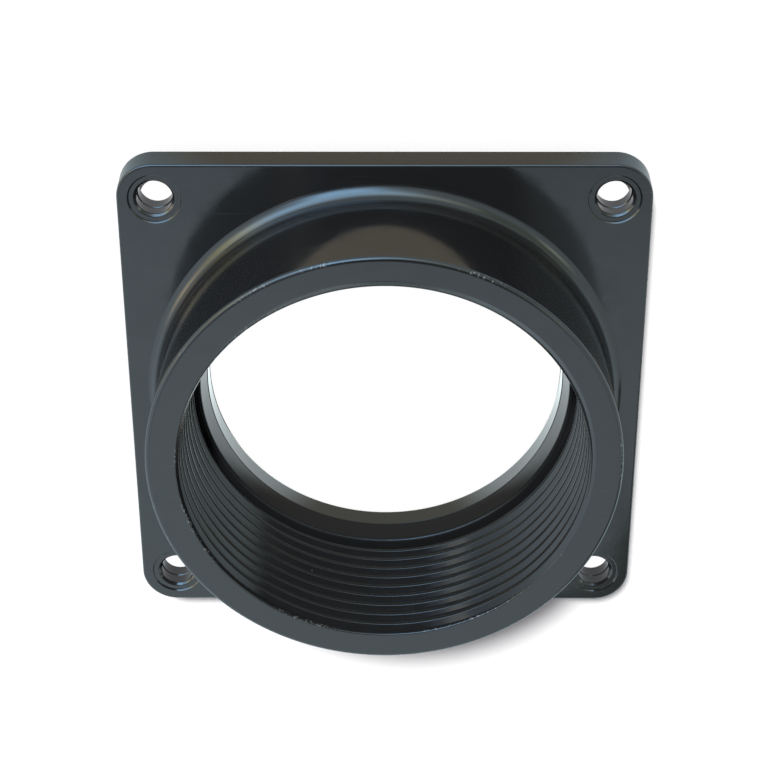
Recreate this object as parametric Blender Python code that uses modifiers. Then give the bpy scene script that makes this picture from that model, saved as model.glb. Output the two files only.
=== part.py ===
"""Square pipe flange with a tapered female pipe thread, moulded in one piece.

The bore axis is Z. The flange lies on the end of the short lip behind its plate,
so Z = 0 is the lip's end face, and the threaded collar points up.
"""

from math import ceil, cos, pi, radians, sin, tan

import bmesh
import bpy

mm = 0.001

# Plate
plate_width = 109.0 * mm
plate_thickness = 6.5 * mm
plate_corner_radius = 7.5 * mm
plate_edge_rounding = 0.35 * mm

# Bolt holes, one near each corner of the plate
hole_edge_distance = 7.7 * mm
hole_diameter = 7.5 * mm
hole_back_diameter = 7.2 * mm
hole_seam_height = 3.0 * mm
hole_chamfer = 0.5 * mm
hole_spot_diameter = 11.0 * mm
hole_spot_depth = 0.35 * mm

# Collar, from the front of the plate to the rim
collar_height = 28.2 * mm
collar_root_wall = 4.7 * mm
collar_root_fillet = 4.5 * mm
rim_width = 6.2 * mm
rim_outer_rounding = 0.9 * mm

# Bore at the thread's crests, tapered as pipe threads are
bore_mouth_diameter = 83.7 * mm
bore_taper = 1.0 / 16.0
mouth_chamfer_width = 0.6 * mm
mouth_chamfer_angle = radians(45.0)

# Tapered pipe thread, a right-hand helix with 8 turns to the inch; its crest meets the rim at
# the start angle
thread_pitch = 3.175 * mm
thread_depth = 1.7 * mm
thread_crest_width = 0.8 * mm
thread_angle = radians(60.0)
thread_start_angle = radians(69.6)

# Relief groove at the end of the thread, and the seat below it
relief_depth = 2.1 * mm
relief_height = 1.4 * mm
seat_height = 4.4 * mm
seat_inset = 0.7 * mm
seat_rounding_drop = 0.85 * mm
seat_rounding_width = 0.75 * mm

# Throat and the lip behind the plate
throat_cone_width = 1.1 * mm
lip_length = 4.9 * mm
lip_wall = 3.25 * mm
lip_edge_rounding = 0.4 * mm

# Faceting and cutting allowances
round_steps = 72
thread_steps = 60
hole_steps = 32
rim_steps = 4
fillet_steps = 6
corner_steps = 6
edge_steps = 2
cut_overrun = 1.0 * mm
foot_sink = 0.03 * mm
weld_distance = 0.001 * mm
bisect_distance = 0.000001 * mm
axis_merge = 0.01 * mm
flat_join_angle = radians(0.5)
sharp_edge_angle = radians(60.0)

# Levels that follow from the sizes above
plate_back_z = lip_length
plate_front_z = plate_back_z + plate_thickness
rim_z = plate_front_z + collar_height
seat_z = plate_back_z + seat_height
relief_top_z = seat_z + relief_height
mouth_chamfer_z = rim_z - mouth_chamfer_width / tan(mouth_chamfer_angle)
thread_end_z = seat_z + relief_height / 2.0

# Radii that follow, from the bore outwards and then down to the throat
bore_r = bore_mouth_diameter / 2.0
mouth_r = bore_r + mouth_chamfer_width
rim_r = mouth_r + rim_width
bore_end_r = bore_r - (mouth_chamfer_z - relief_top_z) * bore_taper / 2.0
relief_r = bore_end_r + relief_depth
collar_root_r = relief_r + collar_root_wall
seat_r = bore_end_r - seat_inset
cone_top_r = seat_r - seat_rounding_width
throat_r = cone_top_r - throat_cone_width
lip_r = throat_r + lip_wall

# Bolt hole centres, from the plate's edges
hole_place = plate_width / 2.0 - hole_edge_distance


def clear_scene():
    for item in list(bpy.data.objects):
        bpy.data.objects.remove(item, do_unlink=True)


def make_collection(name):
    collection = bpy.data.collections.new(name)
    bpy.context.scene.collection.children.link(collection)
    return collection


def arc(centre, radius, start_deg, end_deg, steps):
    """Points (r, z) on an arc, from one angle to the other."""
    points = []
    for i in range(steps + 1):
        angle = radians(start_deg + (end_deg - start_deg) * i / steps)
        points.append((centre[0] + radius * cos(angle), centre[1] + radius * sin(angle)))
    return points


def turned(name, profile, steps, collection):
    """A solid turned about Z from an open profile that starts and ends on the axis."""
    mesh = bpy.data.meshes.new(name)
    shape = bmesh.new()
    verts = [shape.verts.new((r, 0.0, z)) for r, z in profile]
    for first, second in zip(verts, verts[1:]):
        shape.edges.new((first, second))
    shape.to_mesh(mesh)
    shape.free()
    solid = bpy.data.objects.new(name, mesh)
    collection.objects.link(solid)
    screw = solid.modifiers.new("Turn", "SCREW")
    screw.axis = "Z"
    screw.angle = 2.0 * pi
    screw.steps = steps
    screw.render_steps = steps
    screw.use_merge_vertices = True
    screw.merge_threshold = axis_merge
    return solid


def as_cutter(solid):
    solid.hide_render = True
    solid.display_type = "WIRE"


def boolean(target, tool, operation):
    modifier = target.modifiers.new(tool.name, "BOOLEAN")
    modifier.operation = operation
    modifier.solver = "EXACT"
    modifier.object = tool


def make_material():
    """Black moulded ABS, half gloss."""
    material = bpy.data.materials.new("black_abs")
    material.use_nodes = True
    shader = material.node_tree.nodes["Principled BSDF"]
    shader.inputs["Base Color"].default_value = (0.012, 0.012, 0.013, 1.0)
    shader.inputs["Roughness"].default_value = 0.35
    shader.inputs["Metallic"].default_value = 0.0
    return material


def make_plate(collection):
    """The square plate: a flat outline with round corners, given its thickness."""
    half = plate_width / 2.0
    inset = half - plate_corner_radius
    outline = []
    for quarter in range(4):
        turn = quarter * 90.0 + 45.0
        centre_x = inset * (1.0 if cos(radians(turn)) > 0.0 else -1.0)
        centre_y = inset * (1.0 if sin(radians(turn)) > 0.0 else -1.0)
        outline += arc((centre_x, centre_y), plate_corner_radius, turn - 45.0, turn + 45.0, corner_steps)

    curve = bpy.data.curves.new("plate_outline", "CURVE")
    curve.dimensions = "2D"
    curve.fill_mode = "BOTH"
    curve.extrude = plate_thickness / 2.0
    spline = curve.splines.new("POLY")
    spline.points.add(len(outline) - 1)
    for point, (x, y) in zip(spline.points, outline):
        point.co = (x, y, 0.0, 1.0)
    spline.use_cyclic_u = True
    drawn = bpy.data.objects.new("plate_outline", curve)
    drawn.location.z = plate_back_z + plate_thickness / 2.0
    collection.objects.link(drawn)

    bpy.context.view_layer.update()
    evaluated = drawn.evaluated_get(bpy.context.evaluated_depsgraph_get())
    mesh = bpy.data.meshes.new_from_object(evaluated)
    shape = bmesh.new()
    shape.from_mesh(mesh)
    bmesh.ops.remove_doubles(shape, verts=shape.verts, dist=weld_distance)
    bmesh.ops.recalc_face_normals(shape, faces=shape.faces)
    bmesh.ops.dissolve_limit(shape, angle_limit=flat_join_angle, verts=shape.verts, edges=shape.edges)
    shape.to_mesh(mesh)
    shape.free()
    plate = bpy.data.objects.new("flange_body", mesh)
    plate.matrix_world = drawn.matrix_world
    collection.objects.link(plate)
    bpy.data.objects.remove(drawn, do_unlink=True)

    rounding = plate.modifiers.new("Edges", "BEVEL")
    rounding.width = plate_edge_rounding
    rounding.segments = edge_steps
    rounding.limit_method = "ANGLE"
    rounding.angle_limit = sharp_edge_angle
    return plate


def make_collar(collection):
    """The collar's outside, the fillet at its root and the outside of the lip."""
    root_centre = (collar_root_r + collar_root_fillet, plate_front_z + collar_root_fillet - foot_sink)
    rim_centre = (rim_r - rim_outer_rounding, rim_z - rim_outer_rounding)
    lip_centre = (lip_r - lip_edge_rounding, lip_edge_rounding)
    profile = [(0.0, rim_z)]
    profile += arc(rim_centre, rim_outer_rounding, 90.0, 0.0, rim_steps)
    profile += arc(root_centre, collar_root_fillet, 180.0, 270.0, fillet_steps)
    profile.append((profile[-1][0], plate_back_z + plate_thickness / 2.0))
    profile.append((lip_r, plate_back_z + plate_thickness / 2.0))
    profile += arc(lip_centre, lip_edge_rounding, 0.0, -90.0, edge_steps)
    profile.append((0.0, 0.0))
    return turned("collar_outside", profile, round_steps, collection)


def make_bore(collection):
    """What the bore takes away: mouth chamfer, a core inside the thread, relief, seat, throat."""
    core_r = seat_r
    overrun_r = mouth_r + cut_overrun * tan(mouth_chamfer_angle)
    chamfer_end_z = rim_z - (mouth_r - core_r) / tan(mouth_chamfer_angle)
    profile = [
        (0.0, rim_z + cut_overrun),
        (overrun_r, rim_z + cut_overrun),
        (core_r, chamfer_end_z),
        (core_r, relief_top_z),
        (relief_r, relief_top_z),
        (relief_r, seat_z),
        (seat_r, seat_z),
        (cone_top_r, seat_z - seat_rounding_drop),
        (throat_r, plate_back_z),
        (throat_r, lip_edge_rounding),
        (throat_r + lip_edge_rounding, 0.0),
        (throat_r + lip_edge_rounding + cut_overrun, -cut_overrun),
        (0.0, -cut_overrun),
    ]
    return turned("bore_cutter", profile, round_steps, collection)


def make_thread(collection):
    """The form of a tapered tap: one pitch of the thread, screwed up the bore and closed."""
    flank = thread_depth * tan(thread_angle / 2.0)
    low_z = thread_end_z
    high_z = rim_z + cut_overrun
    crest_z = rim_z - thread_crest_width / 2.0
    start_z = crest_z - thread_pitch * (ceil((crest_z - low_z) / thread_pitch) + 1)
    profile = [
        (bore_r, start_z + thread_pitch),
        (bore_r + thread_depth, start_z + thread_pitch - flank),
        (bore_r + thread_depth, start_z + thread_crest_width + flank),
        (bore_r, start_z + thread_crest_width),
        (bore_r, start_z),
    ]
    ribbon = turned("thread_ribbon", profile, thread_steps, collection)
    screw = ribbon.modifiers["Turn"]
    screw.screw_offset = thread_pitch
    screw.iterations = ceil((high_z - start_z) / thread_pitch)

    bpy.context.view_layer.update()
    evaluated = ribbon.evaluated_get(bpy.context.evaluated_depsgraph_get())
    mesh = bpy.data.meshes.new_from_object(evaluated)
    bpy.data.objects.remove(ribbon, do_unlink=True)
    shape = bmesh.new()
    shape.from_mesh(mesh)
    bmesh.ops.remove_doubles(shape, verts=shape.verts, dist=weld_distance)
    for vert in shape.verts:
        radius = vert.co.xy.length
        tapered = radius + (vert.co.z - mouth_chamfer_z) * bore_taper / 2.0
        vert.co.xy *= tapered / radius
    for level, side in ((high_z, 1.0), (low_z, -1.0)):
        everything = shape.verts[:] + shape.edges[:] + shape.faces[:]
        bmesh.ops.bisect_plane(shape, geom=everything, plane_co=(0.0, 0.0, level), plane_no=(0.0, 0.0, side),
                               clear_outer=True, dist=bisect_distance)
        ring = [edge for edge in shape.edges
                if edge.is_boundary and all(abs(vert.co.z - level) < weld_distance for vert in edge.verts)]
        bmesh.ops.contextual_create(shape, geom=ring)
    bmesh.ops.recalc_face_normals(shape, faces=shape.faces)
    shape.to_mesh(mesh)
    shape.free()
    tap = bpy.data.objects.new("thread_cutter", mesh)
    tap.rotation_euler.z = thread_start_angle
    collection.objects.link(tap)
    return tap


def make_hole(name, x, y, collection):
    """One bolt hole: a shallow spot face, a chamfer, and a seam where two core pins met."""
    spot_r = hole_spot_diameter / 2.0
    front_r = hole_diameter / 2.0
    back_r = hole_back_diameter / 2.0
    spot_z = plate_front_z - hole_spot_depth
    seam_z = plate_back_z + hole_seam_height
    profile = [
        (0.0, plate_front_z + cut_overrun),
        (spot_r + cut_overrun, plate_front_z + cut_overrun),
        (spot_r - hole_spot_depth, spot_z),
        (front_r + hole_chamfer, spot_z),
        (front_r, spot_z - hole_chamfer),
        (front_r, seam_z),
        (back_r, seam_z - (front_r - back_r)),
        (back_r, plate_back_z - cut_overrun),
        (0.0, plate_back_z - cut_overrun),
    ]
    hole = turned(name, profile, hole_steps, collection)
    hole.location = (x, y, 0.0)
    return hole


def build():
    clear_scene()
    parts = make_collection("pipe_flange")
    cutters = make_collection("cutters")

    body = make_plate(parts)
    collar = make_collar(cutters)
    bore = make_bore(cutters)
    thread = make_thread(cutters)
    for cutter in (collar, bore, thread):
        as_cutter(cutter)
    boolean(body, collar, "UNION")
    boolean(body, bore, "DIFFERENCE")
    boolean(body, thread, "DIFFERENCE")
    for row, y_side in enumerate((-1.0, 1.0)):
        for column, x_side in enumerate((-1.0, 1.0)):
            number = 2 * row + column + 1
            hole = make_hole("bolt_hole_%d" % number, x_side * hole_place, y_side * hole_place, cutters)
            as_cutter(hole)
            boolean(body, hole, "DIFFERENCE")
    weld = body.modifiers.new("Weld", "WELD")
    weld.merge_threshold = weld_distance

    body.data.shade_smooth()
    body.data.materials.clear()
    body.data.materials.append(make_material())


build()
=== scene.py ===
from math import cos, pi, radians, sin, tan

import bmesh
import bpy
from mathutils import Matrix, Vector, noise


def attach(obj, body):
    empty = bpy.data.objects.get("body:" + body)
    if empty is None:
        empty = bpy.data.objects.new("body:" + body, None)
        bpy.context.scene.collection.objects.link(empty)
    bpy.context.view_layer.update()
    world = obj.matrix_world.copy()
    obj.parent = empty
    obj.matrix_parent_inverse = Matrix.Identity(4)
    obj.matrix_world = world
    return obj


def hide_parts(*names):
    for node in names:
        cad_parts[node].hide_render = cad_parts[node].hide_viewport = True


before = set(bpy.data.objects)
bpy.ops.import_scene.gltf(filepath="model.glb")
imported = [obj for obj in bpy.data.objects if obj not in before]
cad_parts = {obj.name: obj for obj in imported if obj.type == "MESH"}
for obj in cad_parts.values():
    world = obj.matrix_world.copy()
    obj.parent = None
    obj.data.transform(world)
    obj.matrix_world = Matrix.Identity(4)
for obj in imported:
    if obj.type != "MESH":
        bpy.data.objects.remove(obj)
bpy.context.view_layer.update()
print("frame loaded")

# every length below is in mm and every angle in degrees, unless its line says otherwise
mm = 0.001
weld = 0.0005 * mm
sceneRoot = bpy.context.scene.collection


# helpers for colours and shader nodes

def toLinear(code):
    # sRGB hex to the linear values that Blender's sockets take
    parts = [int(code[i:i + 2], 16) / 255.0 for i in (1, 3, 5)]
    return tuple(c / 12.92 if c <= 0.04045 else ((c + 0.055) / 1.055) ** 2.4
                 for c in parts) + (1.0,)


def addNode(tree, kind, settings=None, inputs=None):
    # one node: its settings, and for each input a value or the socket that feeds it
    made = tree.nodes.new(kind)
    for key, value in (settings or {}).items():
        setattr(made, key, value)
    for key, value in (inputs or {}).items():
        if isinstance(value, bpy.types.NodeSocket):
            tree.links.new(value, made.inputs[key])
        else:
            made.inputs[key].default_value = value
    return made


def mapRange(tree, value, source, result, kind="LINEAR"):
    # carries the source pair of limits over to the result pair
    return addNode(tree, "ShaderNodeMapRange", {"interpolation_type": kind},
                   {"Value": value, "From Min": source[0], "From Max": source[1],
                    "To Min": result[0], "To Max": result[1]}).outputs[0]


def smoothStep(tree, value, limits, base=0.0):
    # 0 below the first limit and 1 above the second, with a soft rise between
    return mapRange(tree, value, (base + limits[0], base + limits[1]), (0.0, 1.0), "SMOOTHSTEP")


def calc(tree, operation, *values):
    return addNode(tree, "ShaderNodeMath", {"operation": operation},
                   dict(enumerate(values))).outputs[0]


def vectorCalc(tree, operation, *values):
    # a length or a distance comes out as a number, anything else as a vector
    made = addNode(tree, "ShaderNodeVectorMath", {"operation": operation}, dict(enumerate(values)))
    return made.outputs["Value" if operation in ("LENGTH", "DISTANCE") else "Vector"]


def scaled(tree, vector, factor):
    return addNode(tree, "ShaderNodeVectorMath", {"operation": "SCALE"},
                   {0: vector, "Scale": factor}).outputs[0]


def axesOf(tree, vector):
    return addNode(tree, "ShaderNodeSeparateXYZ", inputs={0: vector}).outputs


def noiseAt(tree, place, kind):
    # kind is the scale per mm, the detail and the roughness of the pattern
    return addNode(tree, "ShaderNodeTexNoise",
                   inputs={"Vector": place, "Scale": kind[0], "Detail": kind[1],
                           "Roughness": kind[2]}).outputs[0]


def emptyMaterial(name):
    material = bpy.data.materials.new(name)
    material.use_nodes = True
    material.node_tree.nodes.clear()
    return material


# helpers for shapes

def arc(centre, radius, start, end, steps):
    # points (r, z) on an arc between two angles
    angles = [radians(start + (end - start) * i / steps) for i in range(steps + 1)]
    return [(centre[0] + radius * cos(a), centre[1] + radius * sin(a)) for a in angles]


def asObject(name, shape):
    mesh = bpy.data.meshes.new(name)
    shape.to_mesh(mesh)
    shape.free()
    made = bpy.data.objects.new(name, mesh)
    sceneRoot.objects.link(made)
    return made


def spun(profile, steps):
    # a closed solid from a profile (r, z) that starts and ends on the axis
    shape = bmesh.new()
    verts = [shape.verts.new((r * mm, 0.0, z * mm)) for r, z in profile]
    edges = [shape.edges.new(pair) for pair in zip(verts, verts[1:])]
    bmesh.ops.spin(shape, geom=verts + edges, cent=(0, 0, 0), axis=(0, 0, 1), angle=2 * pi,
                   steps=steps, use_merge=True)
    bmesh.ops.remove_doubles(shape, verts=shape.verts, dist=weld)
    bmesh.ops.recalc_face_normals(shape, faces=shape.faces)
    return shape


def combine(body, tool, operation):
    step = body.modifiers.new(tool.name, "BOOLEAN")
    step.operation = operation
    step.solver = "EXACT"
    step.object = tool


# square plate with round corners

plateSet = {"width": 109.0, "back": 4.9, "front": 11.4, "corner": 7.5, "cornerSteps": 16,
            "frontEdge": 0.5, "backEdge": 0.35, "edgeSteps": 6}


def makePlate():
    p = plateSet
    shape = bmesh.new()
    bmesh.ops.create_cube(shape, size=1.0)
    size = Vector((p["width"], p["width"], p["front"] - p["back"]))
    bmesh.ops.scale(shape, vec=size * mm, verts=shape.verts)
    middle = (p["front"] + p["back"]) / 2
    bmesh.ops.translate(shape, vec=(0, 0, middle * mm), verts=shape.verts)
    upright = [e for e in shape.edges if abs(e.verts[0].co.z - e.verts[1].co.z) > mm]
    bmesh.ops.bevel(shape, geom=upright, offset=p["corner"] * mm, segments=p["cornerSteps"],
                    profile=0.5, affect="EDGES", material=-1)
    for level, offset in ((p["front"], p["frontEdge"]), (p["back"], p["backEdge"])):
        around = [e for e in shape.edges
                  if all(abs(v.co.z - level * mm) < 0.01 * mm for v in e.verts)]
        bmesh.ops.bevel(shape, geom=around, offset=offset * mm, segments=p["edgeSteps"],
                        profile=0.5, affect="EDGES", material=-1)
    return asObject("plateForm", shape)


# collar, root fillet and the outside of the lip; the root's arc is sunk a little, so its foot
# is a crisp line on the plate at radius 50.4

collarSet = {"rim": 39.6, "rimRadius": 48.65, "rounding": 0.9, "roundingSteps": 8,
             "rootRadius": 47.766, "fillet": 4.5, "sink": 0.398, "draft": 2.3, "filletSteps": 24,
             "inPlate": 8.0, "lipRadius": 41.666, "lipEdge": 0.4, "lipSteps": 6, "steps": 240}


def makeCollar():
    c = collarSet
    top = (c["rimRadius"] - c["rounding"], c["rim"] - c["rounding"])
    root = (c["rootRadius"] + c["fillet"], plateSet["front"] + c["fillet"] - c["sink"])
    lip = (c["lipRadius"] - c["lipEdge"], c["lipEdge"])
    profile = [(0, c["rim"])]
    profile += arc(top, c["rounding"], 90, 0, c["roundingSteps"])
    profile += arc(root, c["fillet"], 180 - c["draft"], 270, c["filletSteps"])
    profile += [(root[0], c["inPlate"]), (c["lipRadius"], c["inPlate"])]
    profile += arc(lip, c["lipEdge"], 0, -90, c["lipSteps"])
    profile += [(0, 0)]
    return asObject("collarForm", spun(profile, c["steps"]))


# bore: relief groove, flat seat, tapered throat with a narrow ledge where the lip begins;
# throatEnd and foot are points (r, z) that start from the throat's radius

boreSet = {"core": 40.2, "above": 1.0, "reliefRadius": 43.066, "reliefTop": 10.7,
           "seat": 9.3, "seatRadius": 40.266, "seatRounding": 0.66, "seatTurn": 162.8,
           "seatSteps": 8, "throatRadius": 38.416, "throatEnd": ((0.03, 0.1), (0.0, 0.03)),
           "ledge": 0.12, "ledgeRounding": 0.08, "ledgeDrop": 0.06, "ledgeSteps": 6,
           "footLevel": 0.35, "foot": ((0.0, 0.1), (0.3, 0.0), (1.3, -1.0)), "steps": 240}


def makeBore():
    b = boreSet
    top = collarSet["rim"] + b["above"]
    throat = b["throatRadius"]
    junction = plateSet["back"]
    seat = (b["seatRadius"], b["seat"] - b["seatRounding"])
    ledge = (throat - b["ledge"] + b["ledgeRounding"], junction - b["ledgeDrop"])
    profile = [(0, top), (b["core"], top), (b["core"], b["reliefTop"]),
               (b["reliefRadius"], b["reliefTop"]), (b["reliefRadius"], b["seat"])]
    profile += arc(seat, b["seatRounding"], 90, b["seatTurn"], b["seatSteps"])
    profile += [(throat + r, junction + z) for r, z in b["throatEnd"]]
    profile += arc(ledge, b["ledgeRounding"], 90, 180, b["ledgeSteps"])
    profile += [(throat - b["ledge"], b["footLevel"])]
    profile += [(throat + r, z) for r, z in b["foot"]]
    profile += [(0, profile[-1][1])]
    return asObject("boreForm", spun(profile, b["steps"]))


# tapered pipe thread, 8 turns to the inch, as the form of the tap that cuts it; rootEase is two
# points (depth, height) back from the start of the root

threadSet = {"pitch": 3.175, "crestRadius": 41.87, "crestFlat": 0.8, "crestRounding": 0.28,
             "crestSteps": 5, "depth": 1.7, "flank": 30, "rootEase": ((0.16, -0.1), (0.03, 0.02)),
             "firstCrest": 39.78, "taper": 1 / 32, "low": 10.0, "high": 40.4, "steps": 180,
             "join": 0.003}


def threadOutline():
    # one turn's section from crest to crest: how deep, and how far up the axis
    t = threadSet
    half = t["crestFlat"] / 2
    slope = tan(radians(t["flank"]))
    rootStart = half + t["depth"] * slope
    soft = t["crestRounding"]
    rising = [(0, 0)]
    for step in range(t["crestSteps"] + 1):
        angle = radians((90 - t["flank"]) * step / t["crestSteps"])
        rising.append((soft * (1 - cos(angle)), half - soft * slope + soft * sin(angle)))
    rising += [(t["depth"] - d, rootStart + z) for d, z in t["rootEase"]]
    falling = [(d, t["pitch"] - z) for d, z in reversed(rising)]
    return rising + [(t["depth"], t["pitch"] / 2)] + falling


def makeThread():
    t = threadSet
    pitch = t["pitch"]
    bottom = t["firstCrest"] - pitch / 4
    while bottom > t["low"] - pitch:
        bottom -= pitch
    turns = int((t["high"] - bottom) / pitch) + 2

    # one turn is spun up the axis, then repeated
    shape = bmesh.new()
    verts = [shape.verts.new(((t["crestRadius"] + d) * mm, 0, (bottom + z) * mm))
             for d, z in threadOutline()]
    edges = [shape.edges.new(pair) for pair in zip(verts, verts[1:])]
    bmesh.ops.spin(shape, geom=verts + edges, cent=(0, 0, 0), axis=(0, 0, 1), angle=2 * pi,
                   dvec=(0, 0, pitch * mm / t["steps"]), steps=t["steps"])
    oneTurn = shape.verts[:] + shape.edges[:] + shape.faces[:]
    for turn in range(1, turns):
        copy = bmesh.ops.duplicate(shape, geom=oneTurn)["geom"]
        newVerts = [g for g in copy if isinstance(g, bmesh.types.BMVert)]
        bmesh.ops.translate(shape, vec=(0, 0, turn * pitch * mm), verts=newVerts)
    bmesh.ops.remove_doubles(shape, verts=shape.verts, dist=t["join"] * mm)

    # the taper, then a flat end above and below
    for v in shape.verts:
        r = v.co.xy.length
        grown = (r + (v.co.z - collarSet["rim"] * mm) * t["taper"]) / r
        v.co.x *= grown
        v.co.y *= grown
    for level, side in ((t["high"], 1), (t["low"], -1)):
        bmesh.ops.bisect_plane(shape, geom=shape.verts[:] + shape.edges[:] + shape.faces[:],
                               plane_co=(0, 0, level * mm), plane_no=(0, 0, side),
                               clear_outer=True, dist=1e-9)
        around = [e for e in shape.edges if e.is_boundary
                  and all(abs(v.co.z - level * mm) < 0.001 * mm for v in e.verts)]
        bmesh.ops.contextual_create(shape, geom=around)
    bmesh.ops.recalc_face_normals(shape, faces=shape.faces)
    loose = [e for e in shape.edges if not e.is_manifold]
    print("thread form:", len(shape.faces), "faces,", len(loose), "open edges")
    return asObject("threadForm", shape)


# edge of the mouth, dressed a little off centre; waves holds the rate and the share of each
# wander of the edge

mouthSet = {"radius": 42.35, "slope": 0.38, "above": 1.0, "below": 2.0, "rounding": 0.3,
            "clear": 0.02, "turn": (96, 159), "turnSteps": 6, "burr": 0.03,
            "waves": ((26.0, 1.0), (71.0, 0.7)), "shift": 0.2, "towards": 105, "steps": 360}


def makeMouth():
    m = mouthSet
    rim = collarSet["rim"]
    edge = m["radius"] + m["rounding"]
    top = rim + m["above"]
    profile = [(0, top), (edge + m["clear"], top), (edge, rim)]
    profile += arc((edge, rim - m["rounding"]), m["rounding"], *m["turn"], m["turnSteps"])
    profile += [(m["radius"] - m["below"] * m["slope"], rim - m["below"]), (0, rim - m["below"])]
    shape = spun(profile, m["steps"])
    # small burrs: the edge wanders a little in and out all the way round
    for v in shape.verts:
        if v.co.xy.length > boreSet["core"] / 2 * mm and v.co.z < (rim + 0.01) * mm:
            turn = Vector((v.co.x, v.co.y, 0)).normalized()
            wander = sum(share * noise.noise(turn * rate) for rate, share in m["waves"])
            v.co += turn * m["burr"] * wander * mm
    away = radians(m["towards"])
    shift = Vector((cos(away), sin(away), 0)) * m["shift"] * mm
    bmesh.ops.translate(shape, vec=shift, verts=shape.verts)
    return asObject("mouthForm", shape)


# bolt holes, each in a shallow round recess; points (r, z): recess from the recess radius and
# the plate's front, chamfer from the hole's radius and the recess floor

holeSet = {"place": 46.8, "radius": 3.75, "backRadius": 3.6, "recessRadius": 5.5,
           "recessDepth": 0.35,
           "recess": ((0.5, 1.0), (0.06, 0.04), (-0.08, -0.1), (-0.2, -0.27), (-0.34, -0.35)),
           "chamfer": ((0.58, 0.0), (0.44, -0.06), (0.06, -0.44), (0.0, -0.58)),
           "seam": (7.95, 7.8), "bottom": 3.9, "steps": 80}


def makeHole(x, y):
    h = holeSet
    front = plateSet["front"]
    floor = front - h["recessDepth"]
    profile = [(0, front + h["recess"][0][1])]
    profile += [(h["recessRadius"] + r, front + z) for r, z in h["recess"]]
    profile += [(h["radius"] + r, floor + z) for r, z in h["chamfer"]]
    profile += [(h["radius"], h["seam"][0]), (h["backRadius"], h["seam"][1])]
    profile += [(h["backRadius"], h["bottom"]), (0, h["bottom"])]
    shape = spun(profile, h["steps"])
    bmesh.ops.translate(shape, vec=(x * mm, y * mm, 0), verts=shape.verts)
    return asObject("holeForm", shape)


# the flange: plate and collar joined, everything else cut out of them; faces that meet at more
# than the sharp angle keep a hard edge, and large faces lead the normals of the rest

flangeSet = {"sharp": 20, "faceWeight": 100}


def makeFlange():
    body = makePlate()
    collar = makeCollar()
    combine(body, collar, "UNION")
    place = holeSet["place"]
    cutters = [makeBore(), makeThread(), makeMouth()]
    cutters += [makeHole(x, y) for x in (-place, place) for y in (-place, place)]
    for cutter in cutters:
        combine(body, cutter, "DIFFERENCE")
    bpy.context.view_layer.update()
    evaluated = body.evaluated_get(bpy.context.evaluated_depsgraph_get())
    finished = bpy.data.meshes.new_from_object(evaluated)
    for used in [collar] + cutters + [body]:
        bpy.data.objects.remove(used, do_unlink=True)

    shape = bmesh.new()
    shape.from_mesh(finished)
    bmesh.ops.remove_doubles(shape, verts=shape.verts, dist=weld)
    bmesh.ops.dissolve_degenerate(shape, edges=shape.edges, dist=weld)
    for face in shape.faces:
        face.smooth = True
    loose = [e for e in shape.edges if not e.is_manifold]
    triangles = sum(len(f.verts) - 2 for f in shape.faces)
    print("flange:", triangles, "triangles,", len(loose), "open edges")
    shape.to_mesh(finished)
    shape.free()
    finished.set_sharp_from_angle(angle=radians(flangeSet["sharp"]))
    finished.name = "flangeMoulding"
    flange = bpy.data.objects.new("flangeMoulding", finished)
    sceneRoot.objects.link(flange)
    even = flange.modifiers.new("Even normals", "WEIGHTED_NORMAL")
    even.keep_sharp = True
    even.weight = flangeSet["faceWeight"]
    return flange


# black moulded ABS; pairs are limits in mm from the radius or the level that the code names,
# triples are the scale per mm, the detail and the roughness of a noise

absSet = {
    "colour": "#1a1b1c", "worn": "#8f9498", "ior": 1.54, "gloss": 0.5,
    "roughness": (0.09, 0.17), "roughWorn": 0.12, "clouds": (0.15, 4.0, 0.65),
    "cloudLimits": (0.35, 0.65),
    "waves": (0.12, 2.0, 0.5), "waveHeight": 0.02, "grain": (0.9, 3.0, 0.6), "grainHeight": 0.006,
}

# where the tap rubbed: crests, the seat's edge and the mouth; from x 20 to 33 their gloss falls
# further, a painted shade of the reflection towards the two sides
rubSet = {"crest": (0.06, 0.2), "foot": 0.8, "seat": (-0.7, 0.02), "seatReach": 0.3,
          "mouthReach": 0.02, "mouthDepth": 1.6, "aside": (20.0, 33.0), "gloss": (0.3, 0.05)}

# pale marks: scuffs on the rim's two edges, scratches on flat faces, specks of dust
wearSet = {
    "top": (-0.7, -0.3), "outer": (-0.75, -0.45), "inner": (0.2, 0.5),
    "chips": (1.5, 3.0, 0.7), "chipLimits": (0.54, 0.62),
    "patches": (0.06, 1.0, 0.5), "patchLimits": (0.47, 0.58), "scuffShare": 0.5,
    "scratch": (1.0, 2.0, 0.6), "scratchTurns": (0.5, 2.2), "scratchStretch": (0.05, 2.4, 0.3),
    "scratchLimits": (0.7, 0.78), "flatLimits": (0.9, 0.99), "scratchShare": 0.05,
    "scratchDepth": 0.004, "dustCell": 4.0, "dustChance": 0.035, "dustReach": 0.14,
    "dustShare": 0.3,
}


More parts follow.
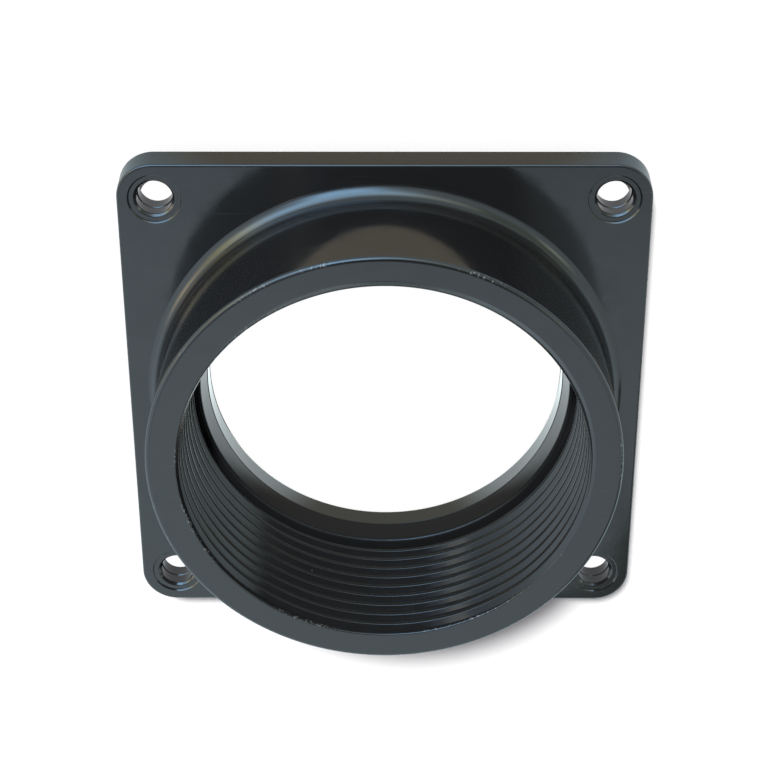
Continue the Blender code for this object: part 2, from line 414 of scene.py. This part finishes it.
def rubbedParts(tree, axes, radius):
    # 1 on the crests, on the seat's edge and at the mouth
    level = calc(tree, "SUBTRACT", axes["Z"], collarSet["rim"])
    # the radius with the thread's taper taken out
    cone = calc(tree, "SUBTRACT", radius, calc(tree, "MULTIPLY", level, threadSet["taper"]))
    valley = smoothStep(tree, cone, rubSet["crest"], threadSet["crestRadius"])
    above = calc(tree, "GREATER_THAN", axes["Z"], threadSet["low"] + rubSet["foot"])
    onCrest = calc(tree, "MULTIPLY", calc(tree, "SUBTRACT", 1.0, valley), above)
    low, high = (boreSet["seat"] + z for z in rubSet["seat"])
    onSeat = calc(tree, "MULTIPLY", calc(tree, "GREATER_THAN", axes["Z"], low),
                  calc(tree, "LESS_THAN", axes["Z"], high))
    near = calc(tree, "LESS_THAN", radius, boreSet["seatRadius"] + rubSet["seatReach"])
    onSeat = calc(tree, "MULTIPLY", onSeat, near)
    within = calc(tree, "LESS_THAN", radius, mouthSet["radius"] + rubSet["mouthReach"])
    nearTop = calc(tree, "GREATER_THAN", axes["Z"], collarSet["rim"] - rubSet["mouthDepth"])
    atMouth = calc(tree, "MULTIPLY", within, nearTop)
    return calc(tree, "MAXIMUM", calc(tree, "MAXIMUM", onCrest, onSeat), atMouth)


def rimScuffs(tree, place, axes, radius):
    # broken marks along the rim's outer and inner edges
    atTop = smoothStep(tree, axes["Z"], wearSet["top"], collarSet["rim"])
    outer = smoothStep(tree, radius, wearSet["outer"], collarSet["rimRadius"])
    inner = smoothStep(tree, radius, wearSet["inner"], mouthSet["radius"])
    edges = calc(tree, "MAXIMUM", outer, calc(tree, "SUBTRACT", 1.0, inner))
    chips = smoothStep(tree, noiseAt(tree, place, wearSet["chips"]), wearSet["chipLimits"])
    patches = smoothStep(tree, noiseAt(tree, place, wearSet["patches"]), wearSet["patchLimits"])
    return calc(tree, "MULTIPLY", calc(tree, "MULTIPLY", atTop, edges),
                calc(tree, "MULTIPLY", chips, patches))


def faintScratches(tree, place):
    # long thin marks in two directions, only here and there and only on flat faces
    marks = 0.0
    for turn in wearSet["scratchTurns"]:
        along = addNode(tree, "ShaderNodeMapping",
                        inputs={"Vector": place, "Rotation": (0, 0, turn),
                                "Scale": wearSet["scratchStretch"]}).outputs[0]
        lines = noiseAt(tree, along, wearSet["scratch"])
        marks = calc(tree, "MAXIMUM", marks, smoothStep(tree, lines, wearSet["scratchLimits"]))
    normal = addNode(tree, "ShaderNodeNewGeometry").outputs["True Normal"]
    facing = calc(tree, "ABSOLUTE", axesOf(tree, normal)["Z"])
    return calc(tree, "MULTIPLY", marks, smoothStep(tree, facing, wearSet["flatLimits"]))


def specks(tree, place, cell, chance, reach):
    # small round spots: one in each chosen cell
    cells = addNode(tree, "ShaderNodeTexVoronoi", inputs={"Vector": place, "Scale": 1 / cell})
    chosen = calc(tree, "LESS_THAN", axesOf(tree, cells.outputs["Color"])["X"], chance)
    near = calc(tree, "LESS_THAN", cells.outputs["Distance"], reach / cell)
    return calc(tree, "MULTIPLY", near, chosen)


def makeAbs():
    # ABS moulded against a polished tool: near black and glossy, with faint flow waviness,
    # dull crests where the tap rubbed, duller still towards the two sides as painted shade,
    # pale scuffs on the rim's edges and a little dust
    material = bpy.data.materials.new("mouldedAbs")
    material.use_nodes = True
    tree = material.node_tree
    shader = tree.nodes["Principled BSDF"]
    shader.inputs["IOR"].default_value = absSet["ior"]
    place = scaled(tree, addNode(tree, "ShaderNodeTexCoord").outputs["Object"], 1 / mm)
    axes = axesOf(tree, place)
    flat = addNode(tree, "ShaderNodeCombineXYZ", inputs={"X": axes["X"], "Y": axes["Y"]}).outputs[0]
    radius = vectorCalc(tree, "LENGTH", flat)

    # gloss: lower where the tap rubbed, and lower still towards the two sides as painted shade of
    # the reflection
    rubbed = rubbedParts(tree, axes, radius)
    rubAndSideShadeGloss = mapRange(tree, calc(tree, "ABSOLUTE", axes["X"]), rubSet["aside"], rubSet["gloss"])
    gloss = mapRange(tree, rubbed, (0.0, 1.0), (absSet["gloss"], rubAndSideShadeGloss))
    tree.links.new(gloss, shader.inputs["Specular IOR Level"])

    # colour: paler where it is scuffed, scratched or dusty
    marks = faintScratches(tree, place)
    dust = specks(tree, place, wearSet["dustCell"], wearSet["dustChance"], wearSet["dustReach"])
    pale = calc(tree, "MAXIMUM",
                calc(tree, "MULTIPLY", rimScuffs(tree, place, axes, radius), wearSet["scuffShare"]),
                calc(tree, "ADD", calc(tree, "MULTIPLY", marks, wearSet["scratchShare"]),
                     calc(tree, "MULTIPLY", dust, wearSet["dustShare"])))
    colour = addNode(tree, "ShaderNodeMix", {"data_type": "RGBA"},
                     {0: pale, 6: toLinear(absSet["colour"]), 7: toLinear(absSet["worn"])})
    tree.links.new(colour.outputs[2], shader.inputs["Base Color"])

    # roughness: clouded a little, higher where worn
    clouds = noiseAt(tree, place, absSet["clouds"])
    rough = mapRange(tree, clouds, absSet["cloudLimits"], absSet["roughness"])
    worn = calc(tree, "MULTIPLY", calc(tree, "MAXIMUM", pale, rubbed), absSet["roughWorn"])
    tree.links.new(calc(tree, "ADD", rough, worn), shader.inputs["Roughness"])

    # relief: slow flow waviness, a fine grain and the scratches
    waves = calc(tree, "MULTIPLY", noiseAt(tree, place, absSet["waves"]), absSet["waveHeight"])
    grain = calc(tree, "MULTIPLY", noiseAt(tree, place, absSet["grain"]), absSet["grainHeight"])
    height = calc(tree, "SUBTRACT", calc(tree, "ADD", waves, grain),
                  calc(tree, "MULTIPLY", marks, wearSet["scratchDepth"]))
    relief = addNode(tree, "ShaderNodeBump",
                     inputs={"Height": calc(tree, "MULTIPLY", height, mm), "Distance": 1.0,
                             "Strength": 1.0})
    tree.links.new(relief.outputs[0], shader.inputs["Normal"])
    return material


flange = makeFlange()
flange.data.materials.clear()
flange.data.materials.append(makeAbs())
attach(flange, "root")
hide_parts("flange_body")
print("flange made")


# floor: white paper that keeps the flange's shadow, with painted white glow where the bore and bolt
# holes show it, and painted reflection tones that only the gloss sees; sizes in metres, distances
# in mm from the axis or from a bolt hole

floorSet = {"size": 4.0, "paintedBacking": 38.2, "reach": 400.0, "strength": 1.4,
            "paintedSideLight": (0.8, 0.95, 1.05), "paintedSideReach": 45.0, "paintedSideLimits": (13.0, 25.0),
            "paintedHoleLight": (0.2, 0.25, 0.34), "paintedHoleReach": 6.0,
            "holeSeen": 3.3, "holeAside": 0.8, "holeBehind": 4.6}

# painted reflection: distance from the axis, and the light painted on the paper there, which only
# the gloss sees
paintedFloorTones = (
    (26.0, (0.13, 0.135, 0.11)), (31.0, (0.42, 0.42, 0.35)), (52.0, (0.42, 0.42, 0.35)),
    (57.0, (0.34, 0.3, 0.23)), (68.0, (0.34, 0.3, 0.23)), (82.0, (0.5, 0.68, 0.78)),
    (300.0, (0.62, 0.78, 0.85)),
)


def besideHole(tree, place, aside, behind):
    # distance in metres to the nearest of four points: the bolt holes, moved outwards in x by
    # aside and towards +Y by behind
    moved = vectorCalc(tree, "ADD", place, (0, -behind * mm, 0))
    corner = ((holeSet["place"] + aside) * mm, holeSet["place"] * mm, 0)
    return vectorCalc(tree, "DISTANCE", vectorCalc(tree, "ABSOLUTE", moved), corner)


def paintedPaperTones(tree, place, distance, paintedUnderHole):
    # painted reflection: light painted on the paper that only the gloss sees
    f = floorSet
    ramp = addNode(tree, "ShaderNodeValToRGB",
                   inputs={0: calc(tree, "DIVIDE", distance, f["reach"])})
    tones = ramp.color_ramp.elements
    tones.remove(tones[1])
    for index, (radius, colour) in enumerate(paintedFloorTones):
        tone = tones[0] if index == 0 else tones.new(radius / f["reach"])
        tone.position = radius / f["reach"]
        tone.color = colour + (1,)
    # painted pool of light on the paper at both sides of the bore
    across = calc(tree, "DIVIDE", calc(tree, "ABSOLUTE", axesOf(tree, place)["X"]), mm)
    paintedSides = calc(tree, "MULTIPLY", calc(tree, "LESS_THAN", distance, f["paintedSideReach"]),
                 smoothStep(tree, across, f["paintedSideLimits"]))
    paintedGlow = vectorCalc(tree, "ADD", ramp.outputs[0], scaled(tree, f["paintedSideLight"], paintedSides))
    # painted light under each bolt hole
    return vectorCalc(tree, "ADD", paintedGlow, scaled(tree, f["paintedHoleLight"], paintedUnderHole))


def makeFloor():
    # paper: plain matt white to the eye, with the flange's shadow on it, except where painted white
    # glow hides it
    f = floorSet
    shape = bmesh.new()
    bmesh.ops.create_grid(shape, x_segments=1, y_segments=1, size=f["size"] / 2)
    floor = asObject("studioFloor", shape)
    material = emptyMaterial("whitePaper")
    tree = material.node_tree
    rays = addNode(tree, "ShaderNodeLightPath").outputs
    place = addNode(tree, "ShaderNodeTexCoord").outputs["Object"]
    distance = calc(tree, "DIVIDE", vectorCalc(tree, "LENGTH", place), mm)
    paintedUnderHole = calc(tree, "LESS_THAN", besideHole(tree, place, 0.0, 0.0), f["paintedHoleReach"] * mm)
    # painted light: the paper seen through the bore and the bolt holes glows white, hiding the
    # shadow there
    paintedThroughHole = calc(tree, "LESS_THAN", besideHole(tree, place, f["holeAside"], f["holeBehind"]),
                       f["holeSeen"] * mm)
    clear = calc(tree, "MAXIMUM", paintedThroughHole, calc(tree, "LESS_THAN", distance, f["paintedBacking"]))
    paper = addNode(tree, "ShaderNodeBsdfDiffuse", inputs={"Color": (0.8, 0.8, 0.8, 1)})
    bright = addNode(tree, "ShaderNodeBsdfDiffuse", inputs={"Color": (1, 1, 1, 1)})
    paintedBacking = addNode(tree, "ShaderNodeEmission", inputs={"Color": (1, 1, 1, 1), "Strength": 1.0})
    seen = addNode(tree, "ShaderNodeMixShader",
                   inputs={0: clear, 1: bright.outputs[0], 2: paintedBacking.outputs[0]})
    # painted reflection: the gloss sees the painted tones as glowing paper
    mirrored = addNode(tree, "ShaderNodeEmission",
                       inputs={"Color": paintedPaperTones(tree, place, distance, paintedUnderHole),
                               "Strength": f["strength"]})
    base = addNode(tree, "ShaderNodeMixShader",
                   inputs={0: rays["Is Camera Ray"], 1: paper.outputs[0], 2: seen.outputs[0]})
    final = addNode(tree, "ShaderNodeMixShader",
                    inputs={0: rays["Is Glossy Ray"], 1: base.outputs[0], 2: mirrored.outputs[0]})
    addNode(tree, "ShaderNodeOutputMaterial", inputs={"Surface": final.outputs[0]})
    floor.data.materials.append(material)


# painted reflection: a dim glowing sheet behind the flange's far right corner that only the gloss
# sees

paintedSheetSet = {"away": 100.0, "paintedGlow": (0.22, 0.27, 0.24),
             "outline": ((-30, 60), (-44, 73), (-56, 79), (-61, 94), (-68, 112), (-74, 125),
                         (-220, 125), (-220, 60))}


def makePaintedSheet():
    # painted reflection: an even dark grey-green glow that dims the reflection at that corner
    shape = bmesh.new()
    shape.faces.new([shape.verts.new((x * mm, paintedSheetSet["away"] * mm, z * mm))
                     for x, z in paintedSheetSet["outline"]])
    paintedSheet = asObject("paintedReflectionSheet", shape)
    material = emptyMaterial("paintedReflectionGlow")
    tree = material.node_tree
    paintedSheetGlow = addNode(tree, "ShaderNodeEmission",
                    inputs={"Color": paintedSheetSet["paintedGlow"] + (1,), "Strength": 1.0})
    addNode(tree, "ShaderNodeOutputMaterial", inputs={"Surface": paintedSheetGlow.outputs[0]})
    paintedSheet.data.materials.append(material)
    paintedSheet.visible_camera = False
    paintedSheet.visible_diffuse = False
    paintedSheet.visible_shadow = False


makeFloor()
makePaintedSheet()
print("floor made")


# light: a window lamp and a weak level all round for matt surfaces, and the room that the gloss
# mirrors; azimuth runs from +X towards +Y and polar from straight up

lampSet = {"azimuth": 280.5, "polar": 40.3, "spread": 7.0, "strength": 3.55}

skySet = {"plain": (0.25, 0.245, 0.255), "overhead": (0.2, 0.26, 0.29), "edge": (20.5, 31.3),
          "around": (0.93, 1.12, 1.17), "least": (0.02, 0.02, 0.02)}

# each panel adds its colour between two azimuths and two polar angles; soft is the width over
# which it fades, across and upright
panelSet = {
    "window": {"colour": (2.45, 4.43, 6.7), "azimuth": (263, 325), "polar": (58, 81),
               "soft": (32, 28)},
    "windowCore": {"colour": (1.97, 4.08, 6.53), "azimuth": (273, 301), "polar": (43, 60),
                   "soft": (17, 17)},
    "upperPane": {"colour": (0.88, 1.84, 2.99), "azimuth": (287, 313), "polar": (37, 49),
                  "soft": (17, 10)},
    "lampRight": {"colour": (1.1, 1.05, 0.85), "azimuth": (314, 326), "polar": (23, 31),
                  "soft": (5, 6)},
    "warmWall": {"colour": (2.26, 1.73, 0.02), "azimuth": (319, 344), "polar": (59, 86),
                 "soft": (19, 16)},
    "warmFar": {"colour": (3.26, 2.27, 0.88), "azimuth": (348, 364), "polar": (72, 86),
                "soft": (17, 11)},
    "paleSide": {"colour": (0.41, 0.51, 0.65), "azimuth": (-92, 94), "polar": (18, 92),
                 "soft": (67, 20)},
    "lampLeft": {"colour": (1.78, 1.91, 1.56), "azimuth": (193, 206), "polar": (59, 71),
                 "soft": (13, 9)},
    "nearLeft": {"colour": (1.56, 1.73, 1.73), "azimuth": (237, 270), "polar": (66, 83),
                 "soft": (23, 16)},
    "darkLeft": {"colour": (-0.3, -0.37, -0.57), "azimuth": (192, 290), "polar": (62, 100),
                 "soft": (25, 11)},
    "darkBeam": {"colour": (-0.87, -1.03, -1.09), "azimuth": (191, 424), "polar": (24, 37),
                 "soft": (22, 18)},
    "darkOver": {"colour": (-0.5, -0.6, -0.65), "azimuth": (195, 304), "polar": (-20, 34),
                 "soft": (8, 7)},
}


def band(tree, value, limits, soft):
    # 1 between two angles, falling softly to 0 outside them
    middle = sum(limits) / 2
    half = (limits[1] - limits[0]) / 2
    offset = calc(tree, "WRAP", calc(tree, "SUBTRACT", value, middle), 180.0, -180.0)
    outside = smoothStep(tree, calc(tree, "ABSOLUTE", offset), (-soft / 2, soft / 2), half)
    return calc(tree, "SUBTRACT", 1.0, outside)


def makeWorld():
    world = bpy.data.worlds.new("studio")
    bpy.context.scene.world = world
    world.use_nodes = True
    tree = world.node_tree
    tree.nodes.clear()
    rays = addNode(tree, "ShaderNodeLightPath").outputs
    axes = axesOf(tree, addNode(tree, "ShaderNodeTexCoord").outputs["Generated"])
    polar = calc(tree, "DEGREES", calc(tree, "ARCCOSINE", axes["Z"]))
    azimuth = calc(tree, "DEGREES", calc(tree, "ARCTAN2", axes["Y"], axes["X"]))
    room = addNode(tree, "ShaderNodeMix", {"data_type": "VECTOR"},
                   {0: smoothStep(tree, polar, skySet["edge"]),
                    4: skySet["overhead"], 5: skySet["around"]}).outputs[1]
    for panel in panelSet.values():
        mask = calc(tree, "MULTIPLY", band(tree, azimuth, panel["azimuth"], panel["soft"][0]),
                    band(tree, polar, panel["polar"], panel["soft"][1]))
        room = vectorCalc(tree, "ADD", room, scaled(tree, panel["colour"], mask))
    room = vectorCalc(tree, "MAXIMUM", room, skySet["least"])

    # the eye sees white, matt surfaces get the plain level, the gloss mirrors the room
    seen, plain, mirrored = (
        addNode(tree, "ShaderNodeBackground", inputs={"Color": colour, "Strength": 1.0}).outputs[0]
        for colour in ((1, 1, 1, 1), skySet["plain"] + (1,), room))
    light = addNode(tree, "ShaderNodeMixShader",
                    inputs={0: rays["Is Glossy Ray"], 1: plain, 2: mirrored})
    mix = addNode(tree, "ShaderNodeMixShader",
                  inputs={0: rays["Is Camera Ray"], 1: light.outputs[0], 2: seen})
    addNode(tree, "ShaderNodeOutputWorld", inputs={"Surface": mix.outputs[0]})


def makeLamp():
    data = bpy.data.lights.new("windowLamp", "SUN")
    data.energy = lampSet["strength"]
    data.angle = radians(lampSet["spread"])
    lamp = bpy.data.objects.new("windowLamp", data)
    sceneRoot.objects.link(lamp)
    turn = radians(lampSet["azimuth"])
    tilt = radians(lampSet["polar"])
    source = Vector((sin(tilt) * cos(turn), sin(tilt) * sin(turn), cos(tilt)))
    lamp.rotation_euler = source.to_track_quat("Z", "Y").to_euler()
    lamp.location = source
    lamp.visible_glossy = False


makeWorld()
makeLamp()
print("light made")


# camera, as the photograph was taken

cameraSet = {"place": (-2.5122, -251.824, 414.1626), "turn": (-31.7032, 0.3356, 179.8725),
             "lens": 104.376, "sensor": 36.0, "near": 10.0}


def makeCamera():
    data = bpy.data.cameras.new("photoCamera")
    data.sensor_width = cameraSet["sensor"]
    data.lens = cameraSet["lens"]
    data.clip_start = cameraSet["near"] * mm
    camera = bpy.data.objects.new("photoCamera", data)
    sceneRoot.objects.link(camera)
    camera.location = Vector(cameraSet["place"]) * mm
    camera.rotation_euler = [radians(a) for a in cameraSet["turn"]]
    bpy.context.scene.camera = camera


makeCamera()
bpy.context.scene.view_settings.view_transform = "Standard"
print("camera set")
